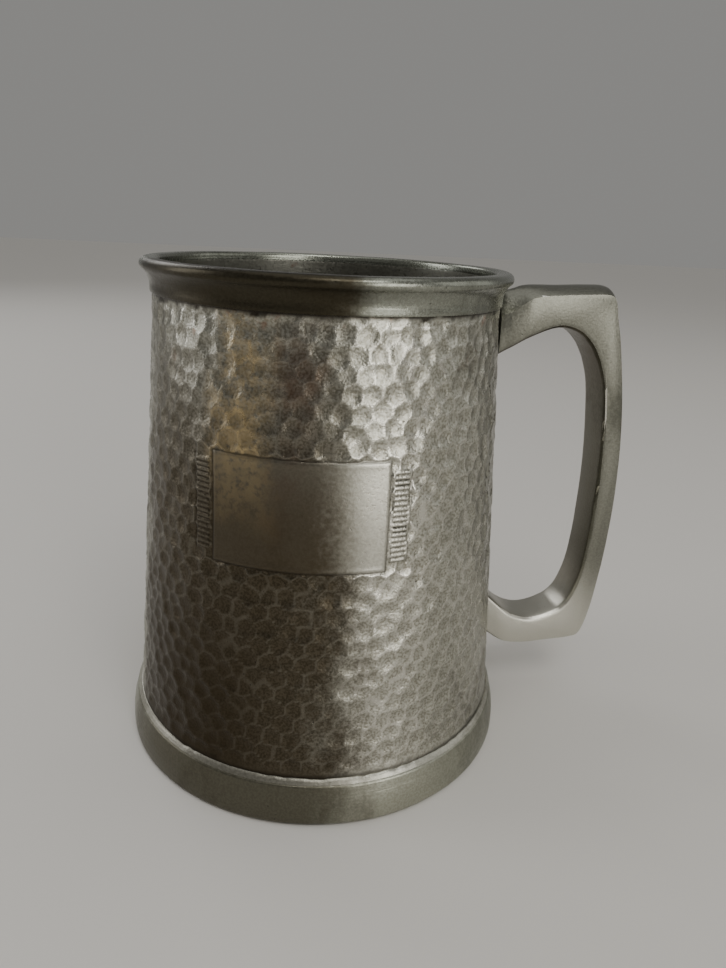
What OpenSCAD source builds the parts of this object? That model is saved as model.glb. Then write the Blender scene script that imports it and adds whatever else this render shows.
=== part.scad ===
// Pewter tankard: a rolled and hammered sheet wall, a turned rim band, a cast foot band,
// a let-in bottom plate and one cast handle, all joined with solder.
// The cup's axis is Z, the table is z = 0 and the handle points along +X.

/* [Cup] */
// height from the table to the top of the lip
cup_height = 115; // [96:1:138]
// outside radius of the wall where it leaves the foot band
wall_foot_radius = 45.9; // [42:0.1:50]
// outside radius of the wall just under the rim band
wall_rim_radius = 38.9; // [35:0.1:42]
// thickness of the hammered sheet
sheet_thickness = 1.2; // [0.9:0.1:1.8]

/* [Rim band] */
// height of the whole rim band, skirt and lip
rim_height = 7.1; // [6:0.1:9]
// how far the band's plain skirt stands out from the wall
skirt_proud = 0.35; // [0.2:0.05:1.2]
// height of the plain skirt under the cove
skirt_height = 1.4; // [1:0.1:2.2]
// radius of the rolled lip bead
bead_radius = 1.4; // [1.1:0.05:2]
// how far the bead stands out from the skirt
bead_proud = 2; // [1.6:0.1:3]
// where the cove leaves the bead, down from level
cove_angle = 35; // [20:1:50]
// how far the lip stands over the wall's top edge
lip_cover = 1.9; // [1.6:0.1:2.4]
// radius that breaks the lip's inner edge
lip_inner_radius = 0.8; // [0.4:0.1:1.1]

/* [Foot band] */
// height of the foot band
foot_height = 9.9; // [9:0.1:13]
// how far the foot band's shoulder stands out from the wall
shoulder_proud = 1.1; // [0.8:0.1:1.6]
// how far the foot band flares from its shoulder to its bottom
foot_flare = 1.15; // [0.6:0.05:1.8]
// radius of the shoulder's edge
shoulder_radius = 0.8; // [0.4:0.1:1]
// radius of the outer edge that meets the table
heel_radius = 1.4; // [0.8:0.1:2]
// width of the foot band's underside, from its inner edge to its heel
foot_width = 3.9; // [3:0.1:5]
// height of the ledge that carries the wall and the bottom plate
ledge_height = 6.4; // [5:0.1:7]
// how far the ledge reaches in under the bottom plate
ledge_reach = 1.6; // [1:0.1:3]

/* [Bottom plate] */
// thickness of the bottom plate
plate_thickness = 1.6; // [1.2:0.1:2.4]

/* [Handle] */
// distance from the cup's axis to the back of the grip's flat sides
handle_reach = 77.2; // [64:0.2:93]
// height of the upper arm's flat sides, measured down from the lip
handle_drop = 4.8; // [4.4:0.1:12]
// height of the lower arm's underside above the table
handle_base = 16; // [15:0.2:26]
// width of the handle, side to side
handle_width = 11.2; // [8:0.1:15]
// depth of the grip, front to back
grip_depth = 5.3; // [4:0.1:7]
// how far the handle's outer face is domed
crown_rise = 2; // [1:0.1:2.6]
// radius along the handle's inner edges
inner_edge_radius = 1.5; // [0.8:0.1:2]
// width of the handle where it meets the wall
root_width = 8.4; // [7:0.1:11]

/* [Name panel] */
// direction of the panel's middle, in degrees from the handle
panel_angle = -104.5; // [-120:0.5:-80]
// width of the panel, measured straight across
panel_width = 36; // [24:0.5:44]
// height of the panel
panel_height = 23.4; // [16:0.2:32]
// height of the panel's middle above the table
panel_middle = 69.4; // [60:0.2:76]
// width of the engraved line round the panel
line_width = 0.45; // [0.3:0.05:0.8]
// depth of the engraved lines
line_depth = 0.22; // [0.1:0.02:0.4]
// width of the reeded bar on each side of the panel
reed_bar_width = 3.3; // [2:0.1:4]
// height of the reeded bars
reed_bar_height = 19.2; // [12:0.2:24]
// number of reeds in each bar
reed_count = 18; // [8:1:24]

/* [Solder] */
// thickness of the solder under each end of the handle
root_solder = 0.4; // [0.3:0.05:0.8]
// how far that solder shows round the handle's end
root_solder_margin = 0.6; // [0.3:0.1:1.2]
// width of the gap where the rolled sheet meets itself
seam_gap = 0.8; // [0.6:0.1:1.4]
// thickness of the solder between the wall's top edge and the lip
rim_solder_thickness = 0.4; // [0.3:0.05:0.6]
// height of the solder fillet on top of the foot band
foot_fillet_height = 1.2; // [0.8:0.1:2]
// width of the solder fillet on top of the foot band
foot_fillet_width = 0.7; // [0.5:0.05:0.8]
// leg of the solder fillet round the bottom plate
plate_fillet = 0.9; // [0.6:0.1:1.6]

/* [Hidden] */
rim_seam = cup_height - rim_height;
wall_top = cup_height - lip_cover - rim_solder_thickness;
wall_slope = (wall_rim_radius - wall_foot_radius) / (rim_seam - foot_height);
plate_top = ledge_height + plate_thickness;
lip_inside = cup_height - lip_cover;
overcut = 1;
full_turn = 360;
fine = 180;
pewter_bright = [0.62, 0.62, 0.58];
pewter_mid = [0.47, 0.46, 0.42];
pewter_dark = [0.36, 0.35, 0.32];
solder_grey = [0.72, 0.72, 0.69];
$fn = fine;

// outside and inside radius of the sheet at a height
function outside_r(z) = wall_foot_radius + wall_slope * (z - foot_height);
function inside_r(z) = outside_r(z) - sheet_thickness;

// a ring of the tapered wall between two heights, from one skin depth to another
module wall_ring(z0, z1, out0, in0) {
  rotate_extrude(angle = full_turn)
    polygon([
      [outside_r(z0) + in0, z0],
      [outside_r(z0) + out0, z0],
      [outside_r(z1) + out0, z1],
      [outside_r(z1) + in0, z1]
    ]);
}

// ---- hammered wall ----

// the straight gap behind the handle where the rolled sheet meets itself
module seam_slot() {
  translate([0, -seam_gap / 2, ledge_height - overcut])
    cube([wall_foot_radius + handle_width, seam_gap, cup_height]);
}

// the engraved frame, seen square on: X across, Z up
module panel_frame() {
  difference() {
    translate([-panel_width / 2, 0, -panel_height / 2])
      cube([panel_width, wall_foot_radius + handle_width, panel_height]);
    translate([-panel_width / 2 + line_width, -overcut, -panel_height / 2 + line_width])
      cube([
        panel_width - 2 * line_width,
        wall_foot_radius + handle_width + 2 * overcut,
        panel_height - 2 * line_width
      ]);
  }
}

// the grooves between the reeds of one side bar
module reed_grooves(side) {
  pitch = reed_bar_height / reed_count;
  start = side > 0 ? panel_width / 2 + line_width : -panel_width / 2 - line_width - reed_bar_width;
  for (i = [0 : reed_count])
    translate([start, 0, i * pitch - reed_bar_height / 2 - line_width / 2])
      cube([reed_bar_width, wall_foot_radius + handle_width, line_width]);
}

// all engraving, limited to a thin skin of the wall
module engraving() {
  intersection() {
    wall_ring(
      panel_middle - panel_height, panel_middle + panel_height, overcut, -line_depth
    );
    rotate([0, 0, panel_angle - 90])
      translate([0, 0, panel_middle]) {
        panel_frame();
        reed_grooves(1);
        reed_grooves(-1);
      }
  }
}

module body_wall() {
  color(pewter_mid)
    difference() {
      wall_ring(ledge_height, wall_top, 0, -sheet_thickness);
      seam_slot();
      engraving();
    }
}

module side_seam_solder() {
  color(solder_grey)
    intersection() {
      wall_ring(ledge_height, wall_top, 0, -sheet_thickness);
      seam_slot();
    }
}

// ---- rim band ----

module rim_band() {
  skirt_r = outside_r(rim_seam) + skirt_proud;
  bead_r = skirt_r + bead_proud - bead_radius;
  bead_middle = cup_height - bead_radius;
  lip_r = inside_r(lip_inside);
  cove_low = rim_seam + skirt_height;
  cove_run = bead_r + bead_radius * cos(cove_angle) - skirt_r;
  cove_rise = bead_middle - bead_radius * sin(cove_angle) - cove_low;
  cove_radius = (cove_run * cove_run + cove_rise * cove_rise) / (2 * cove_run);
  color(pewter_dark)
    rotate_extrude(angle = full_turn)
      difference() {
        union() {
          // skirt outside the wall and web under the bead
          polygon([
            [outside_r(rim_seam), rim_seam],
            [skirt_r, rim_seam],
            [skirt_r, cove_low],
            [skirt_r + cove_run, cove_low + cove_rise],
            [bead_r, bead_middle],
            [outside_r(lip_inside), lip_inside],
          ]);
          // rolled bead
          translate([bead_r, bead_middle])
            circle(r = bead_radius);
          // lip over the wall's top edge
          difference() {
            translate([lip_r, lip_inside])
              square([bead_r - lip_r, lip_cover]);
            translate([lip_r - overcut, cup_height - lip_inner_radius])
              square([lip_inner_radius + overcut, lip_inner_radius + overcut]);
          }
          translate([lip_r + lip_inner_radius, cup_height - lip_inner_radius])
            circle(r = lip_inner_radius);
        }
        // hollow cove between the skirt and the bead
        translate([skirt_r + cove_radius, cove_low])
          circle(r = cove_radius);
        // the wall's top edge and its solder
        polygon([
          [inside_r(rim_seam - overcut), rim_seam - overcut],
          [outside_r(rim_seam - overcut), rim_seam - overcut],
          [outside_r(lip_inside), lip_inside],
          [inside_r(lip_inside), lip_inside],
        ]);
      }
}

module rim_solder() {
  color(solder_grey)
    wall_ring(wall_top, lip_inside, 0, -sheet_thickness);
}

// ---- foot ----

module foot_band() {
  shoulder_r = outside_r(foot_height) + shoulder_proud;
  heel_r = shoulder_r + foot_flare;
  inner_r = heel_r - foot_width;
  color(pewter_mid)
    rotate_extrude(angle = full_turn)
      difference() {
        union() {
          polygon([
            [inner_r, 0],
            [heel_r - heel_radius, 0],
            [heel_r, heel_radius],
            [shoulder_r, foot_height - shoulder_radius],
            [shoulder_r - shoulder_radius, foot_height],
            [outside_r(foot_height), foot_height],
            [outside_r(ledge_height), ledge_height],
            [inside_r(ledge_height) - ledge_reach, ledge_height],
          ]);
          translate([heel_r - heel_radius, heel_radius])
            circle(r = heel_radius);
          translate([shoulder_r - shoulder_radius, foot_height - shoulder_radius])
            circle(r = shoulder_radius);
        }
        // the wall's foot standing on the ledge
        polygon([
          [inside_r(ledge_height), ledge_height],
          [outside_r(ledge_height), ledge_height],
          [outside_r(foot_height + overcut), foot_height + overcut],
          [inside_r(foot_height + overcut), foot_height + overcut],
        ]);
      }
}

module foot_solder() {
  color(solder_grey)
    rotate_extrude(angle = full_turn)
      polygon([
        [outside_r(foot_height), foot_height],
        [outside_r(foot_height) + foot_fillet_width, foot_height],
        [outside_r(foot_height + foot_fillet_height), foot_height + foot_fillet_height]
      ]);
}

module bottom_plate() {
  color(pewter_mid)
    translate([0, 0, ledge_height])
      cylinder(h = plate_thickness, r1 = inside_r(ledge_height), r2 = inside_r(plate_top));
}

module bottom_solder() {
  color(solder_grey)
    rotate_extrude(angle = full_turn)
      polygon([
        [inside_r(plate_top) - plate_fillet, plate_top],
        [inside_r(plate_top), plate_top],
        [inside_r(plate_top + plate_fillet), plate_top + plate_fillet]
      ]);
}

// ---- handle ----

// The handle's outline, root to root. Each row is one place along it: the inner edge's
// reach and height, then the outer edge's reach and height, as shares of the handle's own
// reach and height, then the dome there and the width there as shares of their sizes.
HANDLE_SHAPE = [
  [-0.114, 0.805, -0.114, 0.880, 2.9, 0],
  [0.020, 0.842, 0.014, 0.933, 2.7, 0],
  [0.116, 0.866, 0.124, 0.966, 2.0, 0.6],
  [0.224, 0.891, 0.216, 0.989, 1.3, 1],
  [0.405, 0.916, 0.400, 0.997, 1.0, 1],
  [0.549, 0.904, 0.589, 1.001, 1.0, 1],
  [0.645, 0.873, 0.725, 1.001, 0.95, 1],
  [0.690, 0.848, 0.772, 0.984, 0.9, 1],
  [0.735, 0.815, 0.798, 0.945, 0.9, 1],
  [0.789, 0.750, 0.850, 0.875, 0.9, 1],
  [0.827, 0.640, 0.925, 0.735, 0.95, 1],
  [0.850, 0.535, 0.974, 0.595, 1, 1],
  [0.857, 0.430, 0.996, 0.450, 1, 1],
  [0.854, 0.315, 0.994, 0.305, 1, 1],
  [0.832, 0.215, 0.975, 0.190, 1, 1],
  [0.780, 0.146, 0.945, 0.090, 0.95, 1],
  [0.725, 0.115, 0.897, 0.024, 0.9, 1],
  [0.670, 0.100, 0.815, 0.009, 0.9, 1],
  [0.562, 0.084, 0.640, 0.004, 0.9, 1],
  [0.441, 0.081, 0.460, 0.000, 0.9, 1],
  [0.305, 0.102, 0.311, 0.006, 0.9, 1],
  [0.160, 0.150, 0.188, 0.034, 0.9, 0.4],
  [0.020, 0.200, 0.060, 0.066, 0.9, 0],
  [-0.090, 0.240, -0.060, 0.098, 0.9, 0],
];
shape_count = len(HANDLE_SHAPE);
root_reach = wall_rim_radius + 1.3;
handle_top = cup_height - handle_drop;
shape_depth = 5.3;
steps = 4;
station_count = (shape_count - 3) * steps + 1;

// a smooth curve through four values
function curve(a, b, c, d, t) = b + 0.5 * t * (
  c - a + t * (2 * a - 5 * b + 4 * c - d + t * (3 * (b - c) + d - a))
);
// the shape's row at a station, smoothed
function row_at(i) =
  let (k = min(floor(i / steps), shape_count - 4), t = (i - k * steps) / steps)
  [for (j = [0 : 5]) curve(
    HANDLE_SHAPE[k][j], HANDLE_SHAPE[k + 1][j], HANDLE_SHAPE[k + 2][j], HANDLE_SHAPE[k + 3][j], t
  )];
// a share of the handle's reach and height, as a place in the XZ plane
function place(u, v) = [
  root_reach + u * (handle_reach - root_reach),
  handle_base + v * (handle_top - handle_base)
];

// across the section: half a width at 1, and how far up the dome
dome_shares = [1, 0.93, 0.78, 0.55, 0.28, 0];
corner_angles = [0, 30, 60, 90];

// one closed section through the handle at a station
function section(i) =
  let (
    row = row_at(i),
    outer = place(row[2], row[3]),
    full_inner = place(row[0], row[1]),
    inner = outer + (full_inner - outer) * (grip_depth / shape_depth),
    depth = norm(outer - inner),
    way = (outer - inner) / depth,
    half = (root_width + (handle_width - root_width) * min(max(row[5], 0), 1)) / 2,
    dome = crown_rise * row[4],
    edge = inner_edge_radius,
    right_half = [
      for (a = corner_angles) [half - edge + edge * sin(a), edge - edge * cos(a)],
      for (s = dome_shares) [half * s, depth + dome * (1 - s * s)]
    ],
    left_half = [for (n = [len(right_half) - 2 : -1 : 0]) [-right_half[n][0], right_half[n][1]]],
    ring = concat(right_half, left_half)
  )
  [for (q = ring) [inner[0] + way[0] * q[1], q[0], inner[1] + way[1] * q[1]]];

// the bare casting, running on into the wall at both ends
module handle_sweep() {
  rings = [for (i = [0 : station_count - 1]) section(i)];
  m = len(rings[0]);
  last = station_count - 1;
  points = [for (r = rings) for (q = r) q];
  sides = [
    for (i = [0 : last - 1]) for (j = [0 : m - 1])
      let (a = i * m + j, b = i * m + (j + 1) % m)
      each [[a, b, b + m], [a, b + m, a + m]]
  ];
  first_cap = [for (j = [m - 1 : -1 : 0]) j];
  last_cap = [for (j = [0 : m - 1]) last * m + j];
  polyhedron(points = points, faces = concat(sides, [first_cap], [last_cap]));
}

// everything inside the wall, out to a chosen skin
module cup_core(skin) {
  cylinder(
    h = cup_height, r1 = outside_r(0) + skin, r2 = outside_r(cup_height) + skin
  );
}

module handle() {
  color(pewter_bright)
    difference() {
      handle_sweep();
      cup_core(root_solder);
    }
}

// a pad of solder on the wall between two heights
module root_pad(low, high) {
  intersection() {
    wall_ring(foot_height + overcut, rim_seam, root_solder, 0);
    translate([0, -root_width / 2 - root_solder_margin, low - root_solder_margin])
      cube([
        handle_reach, root_width + 2 * root_solder_margin, high - low + 2 * root_solder_margin
      ]);
  }
}

module upper_handle_solder() {
  color(solder_grey)
    root_pad(place(0, 0.834)[1], min(place(0, 0.985)[1], rim_seam - 2 * root_solder_margin));
}

module lower_handle_solder() {
  color(solder_grey)
    root_pad(place(0, 0.05)[1], place(0, 0.185)[1]);
}

body_wall();
side_seam_solder();
rim_band();
rim_solder();
foot_band();
foot_solder();
bottom_plate();
bottom_solder();
handle();
upper_handle_solder();
lower_handle_solder();
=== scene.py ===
import bpy, math
import numpy as np
from mathutils import Matrix, Vector


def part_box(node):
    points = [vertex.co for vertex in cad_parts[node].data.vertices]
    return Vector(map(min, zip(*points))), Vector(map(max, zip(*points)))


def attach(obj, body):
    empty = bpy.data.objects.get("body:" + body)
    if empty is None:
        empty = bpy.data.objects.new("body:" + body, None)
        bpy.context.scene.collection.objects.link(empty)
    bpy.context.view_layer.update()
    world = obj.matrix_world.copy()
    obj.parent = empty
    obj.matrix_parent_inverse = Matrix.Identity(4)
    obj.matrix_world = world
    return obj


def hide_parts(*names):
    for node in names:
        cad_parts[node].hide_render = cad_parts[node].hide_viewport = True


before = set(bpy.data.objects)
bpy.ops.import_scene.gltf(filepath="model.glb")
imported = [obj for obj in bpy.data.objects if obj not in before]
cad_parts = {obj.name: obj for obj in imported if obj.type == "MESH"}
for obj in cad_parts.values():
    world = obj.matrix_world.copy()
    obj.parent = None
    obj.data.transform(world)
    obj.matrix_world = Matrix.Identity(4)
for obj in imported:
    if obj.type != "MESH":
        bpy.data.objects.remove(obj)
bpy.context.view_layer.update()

mm = 0.001


def onlySelect(piece):  # nothing else selected, this piece active
    if bpy.context.object and bpy.context.object.mode != 'OBJECT':
        bpy.ops.object.mode_set(mode='OBJECT')
    bpy.ops.object.select_all(action='DESELECT')
    piece.select_set(True)
    bpy.context.view_layer.objects.active = piece


def coords(piece):
    xyz = np.empty(len(piece.data.vertices) * 3)
    piece.data.vertices.foreach_get("co", xyz)
    return xyz.reshape(-1, 3)


def setCoords(piece, xyz):
    piece.data.vertices.foreach_set("co", np.asarray(xyz, float).ravel())
    piece.data.update()


def share(value):  # a number or an array kept between 0 and 1
    return np.clip(value, 0, 1)


def giveFinish(piece, finish):
    piece.data.materials.clear()
    piece.data.materials.append(finish)


def setShade(piece, name, values, per='POINT'):  # a number per vertex or face, for the finishes
    layer = piece.data.attributes.new(name, 'FLOAT', per)
    layer.data.foreach_set("value", np.asarray(values, np.float32))


def finishPiece(piece, name, nodes, angle, finish):
    onlySelect(piece)
    bpy.ops.object.transform_apply(location=True, rotation=True, scale=True)
    bpy.ops.object.shade_smooth_by_angle(angle=math.radians(angle))
    piece.name = name
    piece.data.name = name
    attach(piece, "root")
    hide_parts(*nodes)
    giveFinish(piece, finish)
    print(name, sum(len(f.vertices) - 2 for f in piece.data.polygons), "triangles")


def selectBy(piece, test, kind='FACE'):  # tests a face's middle or both ends of an edge
    bpy.ops.object.mode_set(mode='EDIT')
    bpy.ops.mesh.select_mode(type=kind)
    bpy.ops.mesh.select_all(action='DESELECT')
    bpy.ops.object.mode_set(mode='OBJECT')
    mesh = piece.data
    if kind == 'FACE':
        for face in mesh.polygons:
            face.select = bool(test(face.center))
    else:
        for edge in mesh.edges:
            a, b = (mesh.vertices[i].co for i in edge.vertices)
            edge.select = bool(test(a) and test(b))
    bpy.ops.object.mode_set(mode='EDIT')    # ready for the next edit


def waves(x, y, seed, size):  # slow unevenness, about -1 to 1, from nine crossing ripples
    dice = np.random.default_rng(seed)
    ripples = 9
    total = np.zeros_like(x)
    for _ in range(ripples):
        heading = dice.uniform(0, 2 * math.pi)
        pace = dice.uniform(0.6, 1.7) * 2 * math.pi / size
        along = x * math.cos(heading) + y * math.sin(heading)
        total += np.sin(along * pace + dice.uniform(0, 6.3))
    return total / (ripples / 2)


def radiusAt(node, z, pick=max):  # a CAD ring's outer or inner radius at a height
    return pick(math.hypot(v.co.x, v.co.y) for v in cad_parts[node].data.vertices
                if abs(v.co.z - z) < 0.05 * mm)


# Finishes

class Num:  # a number socket that takes plain arithmetic
    def __init__(self, tree, out):
        self.tree, self.out = tree, out

    def math(self, operation, a, b):
        node = self.tree.nodes.new("ShaderNodeMath")
        node.operation = operation
        for socket, value in zip(node.inputs, (a, b)):
            if isinstance(value, Num):
                self.tree.links.new(value.out, socket)
            else:
                socket.default_value = value
        return Num(self.tree, node.outputs[0])

    def __add__(self, other): return self.math('ADD', self, other)
    def __radd__(self, other): return self.math('ADD', other, self)
    def __sub__(self, other): return self.math('SUBTRACT', self, other)
    def __rsub__(self, other): return self.math('SUBTRACT', other, self)
    def __mul__(self, other): return self.math('MULTIPLY', self, other)
    def __rmul__(self, other): return self.math('MULTIPLY', other, self)
    def __truediv__(self, other): return self.math('DIVIDE', self, other)
    def __pow__(self, other): return self.math('POWER', self, other)


class Finish:
    def __init__(self, name, metallic=1.0):
        self.material = bpy.data.materials.new(name)
        self.material.use_nodes = True
        self.tree = self.material.node_tree
        self.shader = self.tree.nodes["Principled BSDF"]
        self.shader.inputs["Metallic"].default_value = metallic
        self.place = self.make("TexCoord", {}, out="Object")

    def make(self, kind, settings, out=0, **values):  # any node; spaces in socket names are _
        node = self.tree.nodes.new("ShaderNode" + kind)
        for key, value in settings.items():
            setattr(node, key, value)
        for key, value in values.items():
            numbered = key[0] == "i" and key[1:].isdigit()      # i6 is the seventh socket
            socket = node.inputs[int(key[1:]) if numbered else key.replace("_", " ")]
            if isinstance(value, Num):
                self.tree.links.new(value.out, socket)
            else:
                socket.default_value = value
        return Num(self.tree, node.outputs[out])

    def noise(self, size, detail, stretch=(1, 1, 1)):  # size in metres
        spot = self.make("Mapping", {}, Vector=self.place, Scale=stretch)
        return self.make("TexNoise", {}, Vector=spot, Scale=1 / size, Detail=detail,
                         Roughness=0.55)

    def cells(self, size):
        return self.make("TexVoronoi", {}, Vector=self.place, Scale=1 / size)

    def shade(self, name):  # what setShade left on the piece
        return self.make("Attribute", {"attribute_name": name}, out="Fac")

    def band(self, value, low, high):  # 0 below low, 1 above high
        return self.make("MapRange", {"interpolation_type": 'SMOOTHSTEP'}, Value=value,
                         From_Min=low, From_Max=high)

    def blend(self, factor, first, second, mode='MIX'):
        first, second = ((*c, 1) if isinstance(c, tuple) else c for c in (first, second))
        return self.make("Mix", {"data_type": 'RGBA', "blend_type": mode}, out=2,
                         i0=factor, i6=first, i7=second)

    def feed(self, **values):
        for key, value in values.items():
            self.tree.links.new(value.out, self.shader.inputs[key.replace("_", " ")])

    def bump(self, height, strength, distance):
        normal = self.make("Bump", {}, Height=height, Strength=strength, Distance=distance)
        self.feed(Normal=normal)


pewter = {
    "clean": (0.455, 0.450, 0.390),
    "dull": (0.225, 0.222, 0.186),
    "brown": (0.066, 0.050, 0.029),
    "sootAndShade": (0.022, 0.017, 0.012),
    "bright": (0.66, 0.645, 0.57),
    "polishGlint": (0.86, 0.84, 0.76),
    "umberShade": (0.036, 0.026, 0.014),
    "gold": (0.46, 0.35, 0.18),
    "copper": (0.088, 0.043, 0.025),
    "rust": (0.24, 0.10, 0.05),
    "speck": (0.50, 0.49, 0.45),
    "shadedSide": math.radians(-129),      # the side that gets painted shade, partly real dark patina
    "highlightSide": math.radians(-77),     # the side that gets a painted highlight stripe
    "goldHighlightSide": math.radians(-122), "copperSide": math.radians(-107),
    "umberShadeSide": math.radians(-148),
    "shadedLevel": (124 * mm, 66 * mm),    # heights, each from none of it to all of it
    "umberShadeLevel": (66 * mm, 22 * mm), "highlightFadeLevel": (72 * mm, 96 * mm),
    "warmTintLevel": (62 * mm, 84 * mm), "rustLevel": (92 * mm, 106 * mm),
    "lowArmLevel": (44 * mm, 16 * mm),
    "cloudSize": 30 * mm, "patchSize": 13 * mm, "fineSize": 1.1 * mm, "gritSize": 0.5 * mm,
    "pitSize": 2.2 * mm, "pitFieldSize": 7 * mm, "tarnishSize": 48 * mm, "rustSize": 6 * mm,
    "ringSize": 0.5 * mm, "bumpDepth": 0.20 * mm,
}


def pewterFinish(name, clean, brown, rough, grain, sided, hammered=False, turned=False,
                 lowShine=0, tint=(1, 1, 1)):
    f = Finish(name)
    tinted = lambda key: tuple(c * t for c, t in zip(pewter[key], tint))
    cloudy = f.noise(pewter["cloudSize"], 5)
    patch = f.noise(pewter["patchSize"], 6, (1, 1, 0.55))
    fine = f.noise(pewter["fineSize"], 4)
    grit = f.noise(pewter["gritSize"], 2)
    pits = f.band(f.cells(pewter["pitSize"]), 0.12, 0.06)
    pits = pits * f.band(f.noise(pewter["pitFieldSize"], 2), 0.56, 0.66)    # here and there
    dull = f.band(cloudy * 0.6 + patch * 0.4 + fine * 0.15,
                  0.45 + 0.2 * clean, 0.72 + 0.1 * clean)
    x, y, z = (f.make("SeparateXYZ", {}, out=axis, Vector=f.place) for axis in "XYZ")
    radius = (x * x + y * y) ** 0.5 + 1 * mm

    def towards(key, spread=0.10):  # 1 on that side of the cup, -1 on the far side
        facing = (x * math.cos(pewter[key]) + y * math.sin(pewter[key])) / radius
        return facing + (patch - 0.5) * spread if spread else facing

    # painted shade on one side of the cup, partly real dark patina, and a painted highlight stripe
    # on another side
    smooth = f.shade("smooth") if hammered else 0
    side = towards("shadedSide", 0.34 - smooth * 0.26) + (fine - 0.5) * 0.10
    side = f.band(side, 0.66, 0.86) * sided
    side = side * f.band(z, *pewter["shadedLevel"]) if hammered else side
    highlightStripe = f.band(towards("highlightSide") + (fine - 0.5) * 0.03, 0.925, 0.985)
    highlightStripe = highlightStripe * sided * (1 - 0.5 * f.band(z, *pewter["highlightFadeLevel"]))
    tarnishAndShade = f.band(patch * 0.6 + f.noise(pewter["tarnishSize"], 3) * 0.5,
                     0.66 - 0.14 * brown, 0.86 - 0.10 * brown)
    # painted shade: the shaded side joins the real tarnish here
    tarnishAndShade = tarnishAndShade * (0.35 + 0.3 * brown) * (1 - highlightStripe * 0.8) + side * (1 - tarnishAndShade * 0.3)

    # painted highlight stripe: cleaner, brighter metal where the lamp would reflect
    colour = f.blend(dull * (1 - highlightStripe * 0.85), tinted("clean"), tinted("dull"))
    colour = f.blend(highlightStripe * 0.65, colour, tinted("bright"))
    speckle = 0.35
    if hammered:
        light = (1 - side) * (1 - side)
        wearAndGlint = f.band(f.shade("ridge") + (fine - 0.5) * 0.22, 0.30, 0.82)
        tarnishAndShade = tarnishAndShade * (1 - wearAndGlint * 0.10) * (1 - smooth * 0.6 * light)
        speckle = 0.85 * (1 - smooth * 0.7) * (1 - wearAndGlint * 0.6)
    colour = f.blend(tarnishAndShade, colour, tinted("brown"))
    colour = f.blend(pits * 0.7, colour, pewter["sootAndShade"])
    specks = f.blend(f.band(grit, 0.36, 0.64), pewter["speck"], (1, 1, 1))
    colour = f.blend(speckle, colour, specks, 'MULTIPLY')
    roughness = rough + dull * 0.08 + tarnishAndShade * 0.07 + (grit - 0.5) * 0.22 + (fine - 0.5) * 0.14
    height = grit * (0.8 if hammered else 0.4) + fine * 0.3 - pits * 1.2

    if hammered:  # darker dimples and grooves, painted shade low on the shaded side, a painted warm highlight and a reddish patch high up, rust spots, and dark seams that are partly painted shade
        # darker in the dimples and the stamped grooves
        hollowDark = f.band(f.shade("hollow"), 0.35, 1.0) * 0.13 * (1 - smooth)
        colour = f.blend(hollowDark, colour, pewter["brown"])
        # painted shade: darker still low down on the shaded side
        umberShade = side * f.band(z, *pewter["umberShadeLevel"])
        umberShade = umberShade * f.band(towards("umberShadeSide", 0), 0.72, 0.94)
        colour = f.blend(umberShade * 0.75, colour, pewter["umberShade"])
        # painted glints on the ridges, partly wear, stronger in the painted highlight stripe and
        # weaker on the shaded side
        colour = f.blend(wearAndGlint * light * (0.15 + highlightStripe * 0.22), colour, pewter["polishGlint"])
        # painted warm highlight high up near the shaded side
        high = f.band(z + (patch - 0.5) * (20 * mm), *pewter["warmTintLevel"])
        goldenHighlight = f.band(towards("goldHighlightSide"), 0.95, 0.985) * high
        goldenHighlight = goldenHighlight * f.band(fine * 0.5 + patch * 0.5, 0.38, 0.54) * (0.50 + wearAndGlint * 0.4)
        colour = f.blend(goldenHighlight, colour, pewter["gold"])
        # a reddish-brown patch high up on one side
        reddishPatch = f.band(towards("copperSide"), 0.965, 0.995) * high
        colour = f.blend(reddishPatch * 0.72, colour, pewter["copper"])
        spots = f.band(f.noise(pewter["rustSize"], 3), 0.62, 0.72)
        spots = spots * f.band(z, *pewter["rustLevel"])
        colour = f.blend(spots * (1 - highlightStripe) * 0.5, colour, pewter["rust"])
        # dark seams: partly solder joints, partly painted shade in the gap under the rim and in the
        # stamped grooves
        colour = f.blend(f.shade("seam") * 0.92, colour, pewter["sootAndShade"])
        roughness = roughness - wearAndGlint * 0.08 - highlightStripe * 0.03
        height = height * (1 - smooth * 0.6)
    if lowShine:  # painted shade in the finger gap, painted highlights on the rounded edges that are partly wear, a painted sheen on the lower arm
        # painted shade on faces that look into the finger gap
        gapShade = f.band(f.shade("inward"), 0.25, 0.85)
        colour = f.blend(gapShade * 0.75, colour, pewter["brown"])
        # painted highlight on the rounded edges, partly wear
        edge = f.shade("edge") * (1 - gapShade)
        edge = f.band(edge + (fine - 0.5) * 0.5, 0.35, 0.9)
        colour = f.blend(edge * 0.75, colour, pewter["polishGlint"])
        roughness = roughness - edge * 0.12
        # painted sheen: the lower arm is brighter
        lowArmSheen = f.band(z + (patch - 0.5) * (12 * mm), *pewter["lowArmLevel"])
        colour = f.blend(lowArmSheen * lowShine, colour, pewter["bright"])
    if turned:  # the lathe's rings
        rings = f.noise(pewter["ringSize"], 2, (0.02, 0.02, 1))
        height = height + rings * 0.6
        roughness = roughness + (rings - 0.5) * 0.10
    f.feed(Base_Color=colour, Roughness=roughness)
    f.bump(height, grain, pewter["bumpDepth"])
    return f.material


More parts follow.
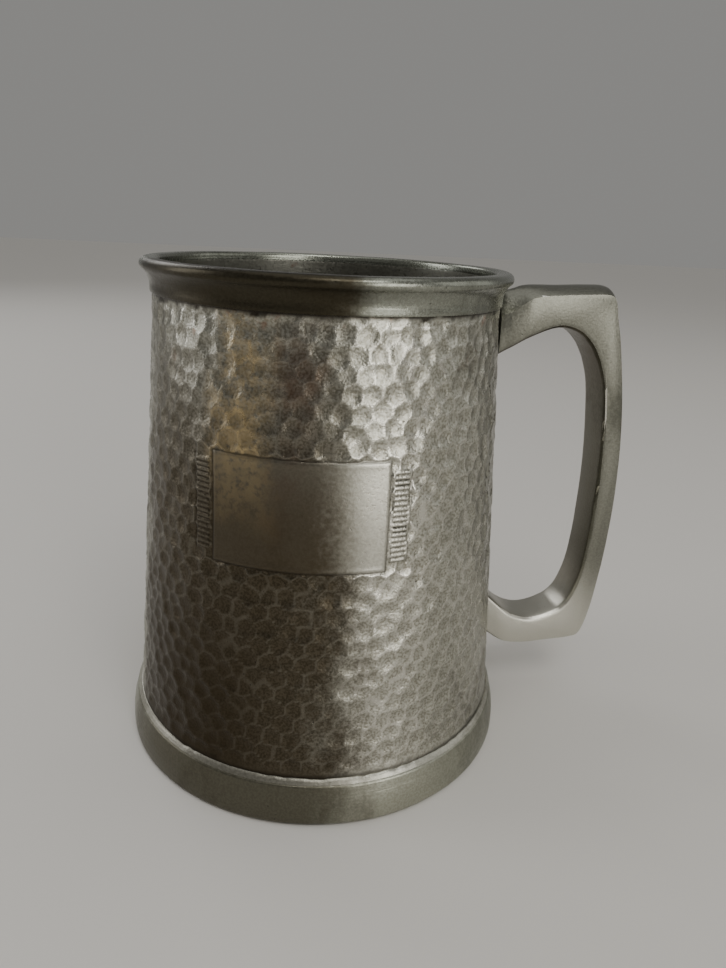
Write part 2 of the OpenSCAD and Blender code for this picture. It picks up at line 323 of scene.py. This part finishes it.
finishes = {
    "hammered": pewterFinish("hammeredPewter", clean=0.6, brown=0.45, rough=0.32, grain=0.5,
                             sided=0.92, hammered=True),
    "rim": pewterFinish("rimPewter", clean=0.35, brown=0.35, rough=0.25, grain=0.3,
                        sided=0.93, turned=True, tint=(0.58, 0.61, 0.60)),
    "foot": pewterFinish("footPewter", clean=0.45, brown=0.45, rough=0.34, grain=0.4,
                         sided=0.72, turned=True, tint=(0.78, 0.80, 0.76)),
    "handle": pewterFinish("handlePewter", clean=0.75, brown=0.10, rough=0.34, grain=0.4,
                           sided=0, lowShine=0.9, tint=(0.48, 0.485, 0.47)),
    "plate": pewterFinish("platePewter", clean=0.2, brown=0.7, rough=0.45, grain=0.2,
                          sided=0, turned=True, tint=(0.8, 0.8, 0.78)),
    "solder": pewterFinish("softSolder", clean=0.7, brown=0.3, rough=0.36, grain=0.5, sided=0.5),
}
print("finishes made")


# Hammered wall: a flat sheet is cut, stamped, hammered and rolled

wall = {
    "columns": 452, "rows": 170,          # outside of the sheet
    "innerColumns": 160, "innerRows": 60,
    "blowPitch": 4.05 * mm, "rowStep": 0.866, "blowJitter": 0.12,
    "blowRadius": 2.3 * mm, "radiusSpread": 0.07, "blowDepth": 0.36 * mm, "depthSpread": 0.22,
    "blowTilt": 0.06, "blowReach": 5 * mm,
    "ridgeDip": 0.02 * mm, "ridgeSoft": 0.006 * mm, "ridgeWidth": 0.403 * mm,
    "footEdge": 3.2 * mm, "rimEdge": 2.2 * mm, "seamEdge": 3 * mm,   # the hammer fades out here
    "rootHalf": 4.6 * mm, "rootEdge": 2 * mm,
    "sag": 0.10 * mm, "innerRelief": 0.55,
    "panelAngle": math.radians(-104.5), "panelWidth": 36 * mm, "panelHeight": 23.4 * mm,
    "panelMiddle": 69.4 * mm, "panelSink": 0.14 * mm, "panelWave": 0.03 * mm,
    "lineWidth": 0.5 * mm, "lineDepth": 0.2 * mm, "beadRise": 0.07 * mm,
    "reedWidth": 3.3 * mm, "reedHeight": 19.2 * mm, "reeds": 18,
    "reedSink": 0.28 * mm, "reedRise": 0.24 * mm, "barLineDepth": 0.12 * mm,
    "seamDarkEdge": 0.4 * mm,
}

low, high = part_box("body_wall")
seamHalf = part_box("side_seam_solder")[1].y
rimSeam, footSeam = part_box("rim_band")[0].z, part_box("foot_band")[1].z
baseR, topR = radiusAt("body_wall", low.z), radiusAt("body_wall", high.z)
sheet = topR - radiusAt("body_wall", high.z, min)
sheetHeight = high.z - low.z
middleR = (baseR + topR) / 2
sheetLength = 2 * math.pi * middleR - 2 * seamHalf
rootHeights = [(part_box(node)[0].z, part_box(node)[1].z)
               for node in ("lower_handle_solder", "upper_handle_solder")]


def wallR(z):
    return baseR + (topR - baseR) * (z - low.z) / sheetHeight


def aroundAt(x):  # place along the flat sheet to angle round the cup
    gap = seamHalf / middleR
    return gap + (x / sheetLength + 0.5) * (2 * math.pi - 2 * gap)


def acrossPanel(x, z):  # sideways and upward from the panel's middle
    angle = aroundAt(x) - (wall["panelAngle"] + 2 * math.pi)
    across = np.where(np.cos(angle) > 0.3, wallR(z) * np.sin(angle), 1.0)
    return across, z - wall["panelMiddle"]


def nearStamp(point):  # faces that need a finer grid for the engraving
    across, up = acrossPanel(point.x, point.y + low.z + sheetHeight / 2)
    side, top = wall["panelWidth"] / 2, wall["panelHeight"] / 2
    bars = (side - 1.1 * mm < abs(across) < side + wall["reedWidth"] + 1.6 * mm
            and abs(up) < top + 1.1 * mm)
    lines = abs(across) < side + 1 * mm and abs(abs(up) - top) < 1.0 * mm
    return bars or lines


def buildWall():
    sheets = []
    for columns, rows, level in ((wall["columns"], wall["rows"], sheet),
                                 (wall["innerColumns"], wall["innerRows"], 0)):
        bpy.ops.object.select_all(action='DESELECT')
        bpy.ops.mesh.primitive_grid_add(x_subdivisions=columns, y_subdivisions=rows, size=1,
                                        location=(0, 0, level))
        piece = bpy.context.object
        bpy.ops.object.mode_set(mode='EDIT')
        bpy.ops.transform.resize(value=(sheetLength, sheetHeight, 1))
        if level == 0:
            bpy.ops.mesh.flip_normals()
        bpy.ops.object.mode_set(mode='OBJECT')
        bpy.ops.object.transform_apply(location=True, rotation=True, scale=True)
        sheets.append(piece)
    outer, inner = sheets
    onlySelect(outer)
    selectBy(outer, nearStamp)
    bpy.ops.mesh.subdivide(number_cuts=2)
    onlySelect(outer)
    inner.select_set(True)
    bpy.ops.object.join()
    for axis, side in ((0, -1), (0, 1), (1, -1), (1, 1)):  # close the sheet's four edges
        edge = side * (sheetLength, sheetHeight)[axis] / 2
        selectBy(outer, lambda p: abs(p[axis] - edge) < 0.001 * mm, 'EDGE')
        bpy.ops.mesh.bridge_edge_loops()
    bpy.ops.object.mode_set(mode='OBJECT')
    return outer


def blowHeights(s, z):  # the surface that round-faced hammer blows leave, and how near a ridge
    pitch, rowPitch = wall["blowPitch"], wall["blowPitch"] * wall["rowStep"]
    jitter, reach, soft = pitch * wall["blowJitter"], wall["blowReach"], wall["ridgeSoft"]
    count = round(2 * math.pi * middleR / pitch)
    step = 2 * math.pi * middleR / count
    spots = []
    for j in range(-2, int(sheetHeight / rowPitch) + 3):
        for i in range(-2, count + 2):
            dice = np.random.default_rng((i % count) * 977 + (j + 5) * 31)
            dx, dz, deep, wide, tiltX, tiltZ = np.clip(dice.normal(0, 1, 6), -2, 2)
            spots.append(((i + 0.5 * (j % 2)) * step + dx * jitter,
                          low.z + j * rowPitch + dz * jitter,
                          wall["blowDepth"] * (1 + wall["depthSpread"] * deep),
                          wall["blowRadius"] * (1 + wall["radiusSpread"] * wide),
                          wall["blowTilt"] * tiltX, wall["blowTilt"] * tiltZ))
    spots = np.array(spots)
    result, ridge = np.empty_like(z), np.empty_like(z)
    for part in np.array_split(np.argsort(z), max(1, len(z) // 1500)):   # a belt at a time
        near = spots[(spots[:, 1] > z[part].min() - reach) & (spots[:, 1] < z[part].max() + reach)]
        ds, dz = s[part, None] - near[None, :, 0], z[part, None] - near[None, :, 1]
        away = (ds ** 2 + dz ** 2) / near[:, 3] ** 2
        h = near[:, 2] * (np.minimum(away, 4) ** 1.45 - 1) + ds * near[:, 4] + dz * near[:, 5]
        h = np.where(away > 3.4, 1 * mm, h)
        floor = h.min(1, keepdims=True)
        lowest = floor[:, 0] - soft * np.log(np.exp((floor - h) / soft).sum(1))
        result[part] = np.minimum(lowest, wall["ridgeDip"])
        second = np.partition(h, 1, axis=1)[:, 1]
        ridge[part] = share(1 - (second - floor[:, 0]) / wall["ridgeWidth"])
    return result, ridge


def hammeredZone(around, z):  # where the hammer worked, and where a root keeps the wall flat
    fromSeam = np.minimum(around, 2 * math.pi - around) * middleR
    fade = (share((z - footSeam - 0.8 * mm) / wall["footEdge"])
            * share((rimSeam + 0.5 * mm - z) / wall["rimEdge"]))
    fade = fade * fade * (3 - 2 * fade)
    fade = fade * share((fromSeam - 0.6 * mm) / wall["seamEdge"])
    beside = share((fromSeam - wall["rootHalf"]) / (1.5 * mm))
    flat = np.zeros_like(z)
    for lowEnd, highEnd in rootHeights:
        away = share(np.maximum(lowEnd - z, z - highEnd) / wall["rootEdge"])
        fade = fade * np.maximum(beside, away)
        flat = np.maximum(flat, (1 - beside) * (1 - away))
    return fade, flat


def stampMarks(x, z):  # how much each part of the stamp is here, 0 to 1
    across, up = acrossPanel(x, z)
    across, height = np.abs(across), np.abs(up)
    side, top, barTop = wall["panelWidth"] / 2, wall["panelHeight"] / 2, wall["reedHeight"] / 2
    line, panelSoft, barSoft = wall["lineWidth"], 0.25 * mm, 0.2 * mm
    barIn, barOut = side + 0.35 * mm, side + wall["reedWidth"] + 0.2 * mm
    beyond = np.maximum(across - side, height - top)   # outside the panel > 0
    panel = share((side - across) / panelSoft) * share((top - height) / panelSoft)
    groove = np.exp(-((beyond + line / 2) / (line * 0.42)) ** 2)
    bead = np.exp(-((beyond + line * 2.0) / (line * 0.55)) ** 2) * panel
    bar = (share((across - barIn) / barSoft) * share((barOut - across) / barSoft)
           * share((barTop - height) / barSoft))
    reed = np.abs(np.sin(math.pi * (up / wall["reedHeight"] + 0.5) * wall["reeds"]))
    barLine = np.exp(-((across - barOut - 0.35 * mm) / barSoft) ** 2) * (height < barTop + 0.6 * mm)
    return panel, groove, bead, bar, reed, barLine


def hammerAndRoll(piece):
    xyz = coords(piece)
    x, z = xyz[:, 0], xyz[:, 1] + low.z + sheetHeight / 2
    outside = xyz[:, 2] > sheet / 2
    around = aroundAt(x)
    s = around * middleR
    blows, ridge = blowHeights(s, z)
    depth = wall["ridgeDip"] - blows                # below the highest ridges
    fade, flat = hammeredZone(around, z)
    panel, groove, bead, bar, reed, barLine = stampMarks(x, z)

    level = wall["panelSink"] + wall["panelWave"] * waves(x, z, 5, 22 * mm)
    out = (depth * fade + wall["ridgeDip"]) * (1 - panel) + level * panel
    out = out + wall["lineDepth"] * groove - wall["beadRise"] * bead
    out = out * (1 - bar) + (wall["reedSink"] - wall["reedRise"] * reed ** 0.7) * bar
    out = out + wall["barLineDepth"] * barLine
    sag = wall["sag"] * (waves(s, z, 11, 34 * mm) + 1.1)    # the sheet is not quite true
    out = out + sag * (1 - flat)
    relief = wall["innerRelief"] * depth * fade * (1 - panel)   # the blows show softly inside
    inside = sheet + wall["ridgeDip"] - relief + sag * 0.6
    radius = wallR(z) - np.where(outside, out, inside)
    setCoords(piece, np.c_[radius * np.cos(around), radius * np.sin(around), z])

    plain = fade * (1 - panel) * (1 - bar)
    hollow = share(depth / np.quantile(depth, 0.97)) * plain
    setShade(piece, "hollow", share(hollow + groove * 0.9 + bar * (1 - reed) * 0.9))
    setShade(piece, "smooth", share(np.maximum(1 - fade, panel)))
    # painted highlight on the dimple ridges, reed crests and bead, partly wear
    shine = ridge * plain + bar * reed ** 3 * 0.8 + bead * 0.3
    setShade(piece, "ridge", shine * outside)
    jag = (waves(s, z, 41, 9 * mm) * 0.3 + waves(s, z, 42, 2.2 * mm) * 0.2 + 0.42) * mm
    # dark lines under the rim and over the foot, partly solder joint and partly painted shadow in
    # the gap; painted shade in the stamped grooves
    underRim = share(1.3 - (rimSeam - z - jag) / wall["seamDarkEdge"])
    overFoot = share(1 - (z - footSeam - 1.3 * mm - jag) / wall["seamDarkEdge"]) * 0.7
    stamped = groove * 0.75 + barLine * 0.5 + bar * (1 - reed) ** 1.3 * 0.85
    setShade(piece, "seam", share(np.maximum(underRim, overFoot) + stamped) * outside)


wallPiece = buildWall()
hammerAndRoll(wallPiece)
finishPiece(wallPiece, "hammeredWall", ["body_wall"], 60, finishes["hammered"])


# Turned pieces: a closed outline is laid out in the XZ plane and spun round the axis

def arc(cx, cz, r, start, end, count):  # points on an arc, angles in degrees
    return [(cx + r * math.cos(math.radians(start + (end - start) * i / (count - 1))),
             cz + r * math.sin(math.radians(start + (end - start) * i / (count - 1))))
            for i in range(count)]


def turn(outline, name, nodes, finish, steps, angle, shape=None):
    bpy.ops.object.select_all(action='DESELECT')
    bpy.ops.mesh.primitive_circle_add(vertices=len(outline), radius=1 * mm,
                                      location=(0, 0, 0), rotation=(math.radians(90), 0, 0))
    piece = bpy.context.object
    bpy.ops.object.transform_apply(location=True, rotation=True, scale=True)
    setCoords(piece, [(x, 0, z) for x, z in outline])
    bpy.ops.object.mode_set(mode='EDIT')
    bpy.ops.mesh.select_all(action='SELECT')
    bpy.ops.mesh.spin(steps=steps, angle=2 * math.pi, center=(0, 0, 0), axis=(0, 0, 1))
    bpy.ops.mesh.select_all(action='SELECT')
    bpy.ops.mesh.remove_doubles(threshold=0.002 * mm)
    bpy.ops.mesh.normals_make_consistent(inside=False)
    bpy.ops.object.mode_set(mode='OBJECT')
    if shape:
        shape(piece)
    finishPiece(piece, name, nodes, angle, finish)


def ringPlaces(piece, r):  # points, angles, radii, and the same angles on a circle for waves
    xyz = coords(piece)
    around = np.arctan2(xyz[:, 1], xyz[:, 0])
    radius = np.hypot(xyz[:, 0], xyz[:, 1])
    return xyz, around, radius, np.cos(around) * r, np.sin(around) * r


def setRing(piece, xyz, around, radius):
    xyz[:, 0], xyz[:, 1] = radius * np.cos(around), radius * np.sin(around)
    setCoords(piece, xyz)


rim = {"bead": 1.4 * mm, "skirt": 1.4 * mm, "cover": 1.9 * mm, "innerRadius": 0.8 * mm,
       "coveAngle": 35, "skirtEdge": 0.18 * mm, "wander": 0.07 * mm, "dip": 0.12 * mm}
rimLow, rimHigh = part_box("rim_band")
skirtR = radiusAt("rim_band", rimLow.z)
outR = rimHigh.x
beadX, beadZ = outR - rim["bead"], rimHigh.z - rim["bead"]
coverZ = rimHigh.z - rim["cover"]
lipR = radiusAt("rim_solder", coverZ, min)
coveLow = rimLow.z + rim["skirt"]
coveRun = beadX + rim["bead"] * math.cos(math.radians(rim["coveAngle"])) - skirtR
coveRise = beadZ - rim["bead"] * math.sin(math.radians(rim["coveAngle"])) - coveLow
coveR = (coveRun ** 2 + coveRise ** 2) / (2 * coveRun)
coveEnd = 180 - math.degrees(math.asin(coveRise / coveR))
rimOutline = (
    [(wallR(rimLow.z), rimLow.z + 0.15 * mm), (wallR(rimLow.z) + 0.05 * mm, rimLow.z)]
    + arc(skirtR - rim["skirtEdge"], rimLow.z + rim["skirtEdge"], rim["skirtEdge"], -90, 0, 4)
    + [(skirtR, rimLow.z + 0.9 * mm)]
    + arc(skirtR + coveR, coveLow, coveR, 180, coveEnd, 9)
    + arc(beadX, beadZ, rim["bead"], 5 - rim["coveAngle"], 90, 14)
    + [(lipR + rim["innerRadius"] + 0.6 * mm, rimHigh.z - 0.03 * mm)]
    + arc(lipR + rim["innerRadius"], rimHigh.z - rim["innerRadius"], rim["innerRadius"],
          90, 180, 6)
    + [(lipR, coverZ), (wallR(coverZ), coverZ)]
)


def unevenRim(piece):  # knocks and a slightly wandering lip, always inward
    xyz, around, radius, x, y = ringPlaces(piece, outR)
    height = share((xyz[:, 2] - rimLow.z) / (rimHigh.z - rimLow.z))
    wander = (waves(x, y, 3, 45 * mm) + waves(x, y, 4, 16 * mm) * 0.5 - 1.2) * rim["wander"]
    radius = radius + np.where(radius > skirtR - 0.15 * mm, wander * height, 0)
    xyz[:, 2] += share(height - 0.7) * (waves(x, y, 6, 30 * mm) - 1.1) * rim["dip"]
    setRing(piece, xyz, around, radius)


turn(rimOutline, "rimBand", ["rim_band"], finishes["rim"], 300, 30, unevenRim)

foot = {"heel": 1.4 * mm, "width": 3.9 * mm, "shoulder": 0.8 * mm, "shoulderIn": 1.15 * mm,
        "reach": 1.6 * mm, "dent": 0.06 * mm}
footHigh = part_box("foot_band")[1]
heelR = footHigh.x
shoulderR = heelR - foot["shoulderIn"]
ledgeZ = low.z
ledgeR = wallR(ledgeZ) - sheet - foot["reach"]
footOutline = (
    [(heelR - foot["width"], 0.25 * mm), (heelR - foot["width"] + 0.25 * mm, 0)]
    + [(heelR - foot["heel"] - 0.5 * mm, 0)]
    + arc(heelR - foot["heel"], foot["heel"], foot["heel"], -90, -5, 9)
    + [(heelR - 0.02 * mm, 2.6 * mm), (heelR - 0.12 * mm, 4.2 * mm),
       (heelR - 0.38 * mm, 6.2 * mm), (shoulderR + 0.30 * mm, 7.8 * mm)]
    + arc(shoulderR - foot["shoulder"], footHigh.z - foot["shoulder"], foot["shoulder"], 8, 90, 7)
    + [(wallR(footHigh.z), footHigh.z), (wallR(ledgeZ), ledgeZ),
       (ledgeR + 0.3 * mm, ledgeZ), (ledgeR, ledgeZ - 0.3 * mm)]
)


def unevenFoot(piece):  # small dents in the outer face
    xyz, around, radius, x, y = ringPlaces(piece, heelR)
    outer = share((radius - wallR(footHigh.z)) / (1 * mm))
    dents = (waves(x, y + xyz[:, 2] * 2, 21, 26 * mm) - 1.1) * foot["dent"]
    setRing(piece, xyz, around, radius + dents * outer)


turn(footOutline, "footBand", ["foot_band"], finishes["foot"], 300, 30, unevenFoot)

fillet = {"height": 1.2 * mm, "width": 0.7 * mm}
filletZ, filletR = footHigh.z, wallR(footHigh.z)
filletOutline = [(filletR + out, filletZ + up) for out, up in (
    (-0.05 * mm, -0.02 * mm), (fillet["width"], -0.02 * mm),
    (fillet["width"] - 0.06 * mm, 0.16 * mm), (0.26 * mm, 0.50 * mm),
    (0.06 * mm, fillet["height"]), (-0.3 * mm, fillet["height"]))]


def unevenFillet(piece):  # the solder's upper edge runs up and down
    xyz, around, radius, x, y = ringPlaces(piece, filletR)
    up = xyz[:, 2] - filletZ
    flow = 1 + 0.28 * waves(x, y, 31, 14 * mm) + 0.18 * waves(x, y, 32, 4 * mm)
    xyz[:, 2] = np.where(up > 0.05 * mm, filletZ + up * np.clip(flow, 0.5, 1.0), xyz[:, 2])
    setCoords(piece, xyz)


turn(filletOutline, "footFillet", ["foot_solder"], finishes["solder"], 360, 80,
     unevenFillet)

plateLow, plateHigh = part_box("bottom_plate")
plateTopR = radiusAt("bottom_plate", plateHigh.z)
plateR = radiusAt("bottom_plate", plateLow.z)
plate = {"rings": 14, "sinkBelow": 0.15 * mm, "sinkAbove": 0.12 * mm}
steps = [i / plate["rings"] for i in range(1, plate["rings"])]
plateOutline = (
    [(0.0, plateLow.z + plate["sinkBelow"])]
    + [(plateR * t, plateLow.z + plate["sinkBelow"] * (1 - t)) for t in steps]
    + [(plateR, plateLow.z), (plateTopR, plateHigh.z)]
    + [(plateTopR * t, plateHigh.z - plate["sinkAbove"] * (1 - t)) for t in reversed(steps)]
    + [(0.0, plateHigh.z - plate["sinkAbove"])]
)
turn(plateOutline, "bottomPlate", ["bottom_plate"], finishes["plate"], 192, 40)


# Handle: the casting's own shape with worn edges

handle = {
    "weld": 0.01 * mm, "flatAngle": math.radians(1.2),
    "quadAngle": math.radians(30), "quadSkew": math.radians(50),
    "wornEdge": 0.45 * mm, "wornSteps": 3, "sharpAngle": math.radians(28),
    "gapMiddle": (55 * mm, 0, 66 * mm), "gapReach": 30 * mm,
    "narrowFace": 0.32 * mm, "rootEnd": 50 * mm,
}


def shadeHandle(piece):
    faces = piece.data.polygons
    normals = np.array([face.normal for face in faces])
    centres = np.array([face.center for face in faces])
    inward = ((np.array(handle["gapMiddle"]) - centres) * normals).sum(axis=1)
    setShade(piece, "inward", inward / handle["gapReach"], 'FACE')   # looks into the finger gap
    xyz = coords(piece)
    narrow = np.zeros(len(faces))
    for face in faces:              # the rounded edges are the narrow faces
        corners = xyz[list(face.vertices)]
        longest = np.linalg.norm(corners - np.roll(corners, 1, axis=0), axis=1).max()
        narrow[face.index] = face.area < handle["narrowFace"] * longest
    narrow[centres[:, 0] < handle["rootEnd"]] = 0                    # the roots are soldered over
    setShade(piece, "edge", narrow, 'FACE')


def buildHandle():
    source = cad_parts["handle"]
    piece = bpy.data.objects.new("castHandle", source.data.copy())
    bpy.context.scene.collection.objects.link(piece)
    onlySelect(piece)
    bpy.ops.object.mode_set(mode='EDIT')
    bpy.ops.mesh.select_all(action='SELECT')
    bpy.ops.mesh.remove_doubles(threshold=handle["weld"])
    bpy.ops.mesh.dissolve_limited(angle_limit=handle["flatAngle"])
    bpy.ops.mesh.tris_convert_to_quads(face_threshold=handle["quadAngle"],
                                       shape_threshold=handle["quadSkew"])
    bpy.ops.object.mode_set(mode='OBJECT')
    edge = piece.modifiers.new("wornEdges", 'BEVEL')
    edge.width, edge.segments = handle["wornEdge"], handle["wornSteps"]
    edge.limit_method, edge.angle_limit = 'ANGLE', handle["sharpAngle"]
    bpy.ops.object.modifier_apply(modifier="wornEdges")
    shadeHandle(piece)
    return piece


handlePiece = buildHandle()
finishPiece(handlePiece, "castHandle", ["handle"], 30, finishes["handle"])

for node in ("side_seam_solder", "rim_solder", "bottom_solder",
             "upper_handle_solder", "lower_handle_solder"):
    giveFinish(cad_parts[node], finishes["solder"])
print("pieces done")


# Floor, light and camera

room = {
    "floorSize": 6, "floorColour": (0.62, 0.60, 0.565, 1), "floorRoughness": 0.75,
    "airColour": (0.80, 0.79, 0.76, 1), "airGlow": 0.31,
    "skyGlow": 0.5, "skySpread": math.radians(60),
    "aim": (0, 0, 0.06),
    "lamps": (                                   # name, place, size, glow, colour
        ("overheadSoft", (0.06, -0.56, 0.82), (0.46, 0.34), 5.0, (1.0, 0.99, 0.97)),
        ("keyWindow", (0.28, -0.60, 0.20), (0.34, 0.38), 3.5, (1.0, 0.98, 0.94)),
        ("rightWall", (0.90, -0.10, 0.40), (0.70, 0.70), 0.75, (1.0, 0.99, 0.96)),
        ("backSoft", (-0.46, 0.76, 0.60), (0.50, 0.36), 2.6, (0.99, 0.99, 1.0)),
        ("leftStrip", (-0.80, 0.16, 0.34), (0.30, 0.60), 3.2, (0.98, 0.98, 1.0)),
    ),
}


def buildStage():
    bpy.ops.object.select_all(action='DESELECT')
    bpy.ops.mesh.primitive_plane_add(size=room["floorSize"], location=(0, 0, 0))
    floor = bpy.context.object
    floor.name = "floor"
    paint = Finish("paleFloor", 0.0)
    paint.shader.inputs["Base Color"].default_value = room["floorColour"]
    paint.shader.inputs["Roughness"].default_value = room["floorRoughness"]
    floor.data.materials.append(paint.material)
    for name, place, size, glow, colour in room["lamps"]:
        bpy.ops.object.light_add(type='AREA', location=place)
        lamp = bpy.context.object
        lamp.name = name
        lamp.data.shape = 'RECTANGLE'
        lamp.data.size, lamp.data.size_y = size
        lamp.data.energy = glow * math.pi * size[0] * size[1]
        lamp.data.color = colour
        towardsCup = Vector(room["aim"]) - Vector(place)
        lamp.rotation_euler = towardsCup.to_track_quat('-Z', 'Y').to_euler()
    bpy.ops.object.light_add(type='SUN', location=(0, 0, 2))   # evens out the far floor
    sky = bpy.context.object
    sky.name, sky.data.energy, sky.data.angle = "skySoft", room["skyGlow"], room["skySpread"]
    world = bpy.data.worlds.new("room")
    bpy.context.scene.world = world
    world.use_nodes = True
    air = world.node_tree.nodes["Background"]
    air.inputs["Color"].default_value = room["airColour"]
    air.inputs["Strength"].default_value = room["airGlow"]


camera = {
    "lens": 26.87, "sensor": 36,
    "spot": (0, -0.17004, 0.12382), "right": (0.99793, -0.04187, 0.04886),
    "up": (-0.03160, 0.34248, 0.93899), "ahead": (0.05605, 0.93859, -0.34045),
    "turned": math.radians(-8),          # from those directions to the part's own frame
}


def placeCamera():
    view = bpy.data.cameras.new("view")
    view.lens, view.sensor_width = camera["lens"], camera["sensor"]
    viewer = bpy.data.objects.new("view", view)
    bpy.context.scene.collection.objects.link(viewer)
    turned = Matrix.Rotation(camera["turned"], 3, 'Z')
    right, up, ahead, spot = (turned @ Vector(camera[key])
                              for key in ("right", "up", "ahead", "spot"))
    viewer.matrix_world = Matrix((
        (right.x, up.x, -ahead.x, spot.x), (right.y, up.y, -ahead.y, spot.y),
        (right.z, up.z, -ahead.z, spot.z), (0, 0, 0, 1)))
    bpy.context.scene.camera = viewer


buildStage()
placeCamera()
bpy.context.view_layer.update()
